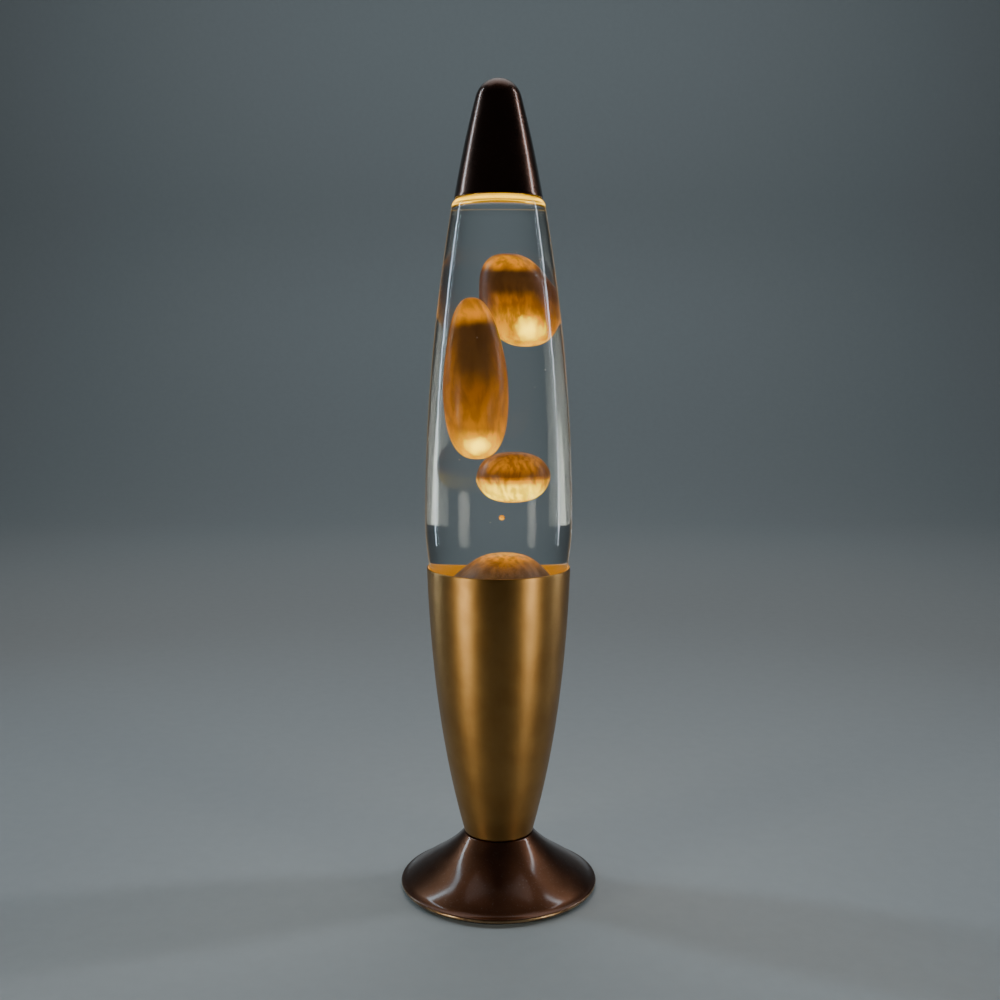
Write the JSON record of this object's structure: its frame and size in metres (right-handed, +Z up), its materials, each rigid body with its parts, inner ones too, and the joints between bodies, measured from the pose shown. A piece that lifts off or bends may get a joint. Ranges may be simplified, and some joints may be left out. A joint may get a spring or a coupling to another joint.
{
  "type": "lava lamp",
  "caption": "Liquid motion lamp: a tapered glass bottle of wax and clear liquid stands in a gold spun cup on a flared foot, under a cone cap, lit by a screw-in reflector bulb.",
  "frame": {"origin": "middle of the foot's underside, on the surface that the lamp stands on", "axes": "+Z up along the lamp's axis, -Y the front, +Y the cord inlet"},
  "size_m": [0.0852, 0.0852, 0.3416],
  "materials": {
    "brown_lacquer": "dark coppery brown satin-gloss lacquer",
    "gold_metal": "satin gold anodised spun sheet",
    "clear_glass": "clear, gloss",
    "clear_liquid": "clear liquid",
    "amber_wax": "amber wax, lit from below",
    "coil_steel": "bright spring wire",
    "tinplate": "tinned",
    "closure_liner": "moulded sealing liner",
    "black_plastic": "moulded, fine grain",
    "black_rubber": "moulded rubber",
    "screw_steel": "zinc plated",
    "phenolic": "moulded phenolic",
    "holder_brass": "plain",
    "vulcanised_fibre": "red fibre sheet",
    "bulb_glass": "silvered inside, frosted face",
    "bulb_brass": "threaded cap",
    "bulb_insulator": "black glass",
    "lead_wire": "nickel wire",
    "filament": "coiled tungsten, glowing"
  },
  "bodies": {
    "base": {"foot_shell": "brown_lacquer", "body_shell": "gold_metal", "base_cover": "black_plastic", "foot_pad_ring": "black_rubber", "base_screw_1": "screw_steel", "base_screw_2": "screw_steel", "base_screw_3": "screw_steel", "cover_tab_1": "tinplate", "cover_tab_2": "tinplate", "cover_tab_3": "tinplate", "cord_grommet": "black_rubber", "lampholder_housing": "phenolic", "lampholder_screw_shell": "holder_brass", "lampholder_centre_contact": "holder_brass", "terminal_screw_1": "holder_brass", "terminal_screw_2": "holder_brass", "clamp_ring": "phenolic", "clamp_washer": "screw_steel", "seat_washer": "vulcanised_fibre"},
    "bulb_foot": {"bulb_tip_contact": "tinplate"},
    "bulb": {"bulb_envelope": "bulb_glass", "bulb_screw_cap": "bulb_brass", "bulb_insulator": "bulb_insulator", "bulb_stem": "bulb_glass", "bulb_lead_1": "lead_wire", "bulb_lead_2": "lead_wire", "bulb_filament": "filament"},
    "bottle": {"bottle_glass": "clear_glass", "liquid": "clear_liquid", "wax_pool": "amber_wax", "heating_coil": "coil_steel", "crown_closure": "tinplate", "closure_liner": "closure_liner"},
    "cap": {"top_cap": "brown_lacquer"},
    "upper_blob": {"wax_blob_upper": "amber_wax"},
    "tall_blob": {"wax_blob_tall": "amber_wax"},
    "oval_blob": {"wax_blob_oval": "amber_wax"},
    "droplet": {"wax_droplet": "amber_wax"}
  },
  "joints": [
    {"name": "bottle_lift", "type": "slide", "parent": "base", "child": "bottle", "axis": [0, 0, 1], "range_m": [0, 0.06]},
    {"name": "cap_lift", "type": "slide", "parent": "bottle", "child": "cap", "axis": [0, 0, 1], "range_m": [0, 0.06]},
    {"name": "bulb_rise", "type": "slide", "parent": "base", "child": "bulb_foot", "axis": [0, 0, 1], "range_m": [0, 0.0085]},
    {"name": "bulb_unscrew", "type": "hinge", "parent": "bulb_foot", "child": "bulb", "pos_m": [0, 0, 0.0269], "axis": [0, 0, 1], "range_deg": [0, 1080]},
    {"name": "upper_blob_drift", "type": "slide", "parent": "bottle", "child": "upper_blob", "axis": [0, 0, 1], "range_m": [-0.016, 0.014], "deforming": ["liquid"]},
    {"name": "tall_blob_drift", "type": "slide", "parent": "bottle", "child": "tall_blob", "axis": [0, 0, 1], "range_m": [-0.036, 0.012], "deforming": ["liquid"]},
    {"name": "oval_blob_drift", "type": "slide", "parent": "bottle", "child": "oval_blob", "axis": [0, 0, 1], "range_m": [-0.018, 0.024], "deforming": ["liquid"]},
    {"name": "droplet_drift", "type": "slide", "parent": "bottle", "child": "droplet", "axis": [0, 0, 1], "range_m": [-0.01, 0.04], "deforming": ["liquid"]}
  ],
  "couplings": [
    {"joint": "bulb_rise", "follows": "bulb_unscrew", "m_per_rad": 0.00044882}
  ]
}
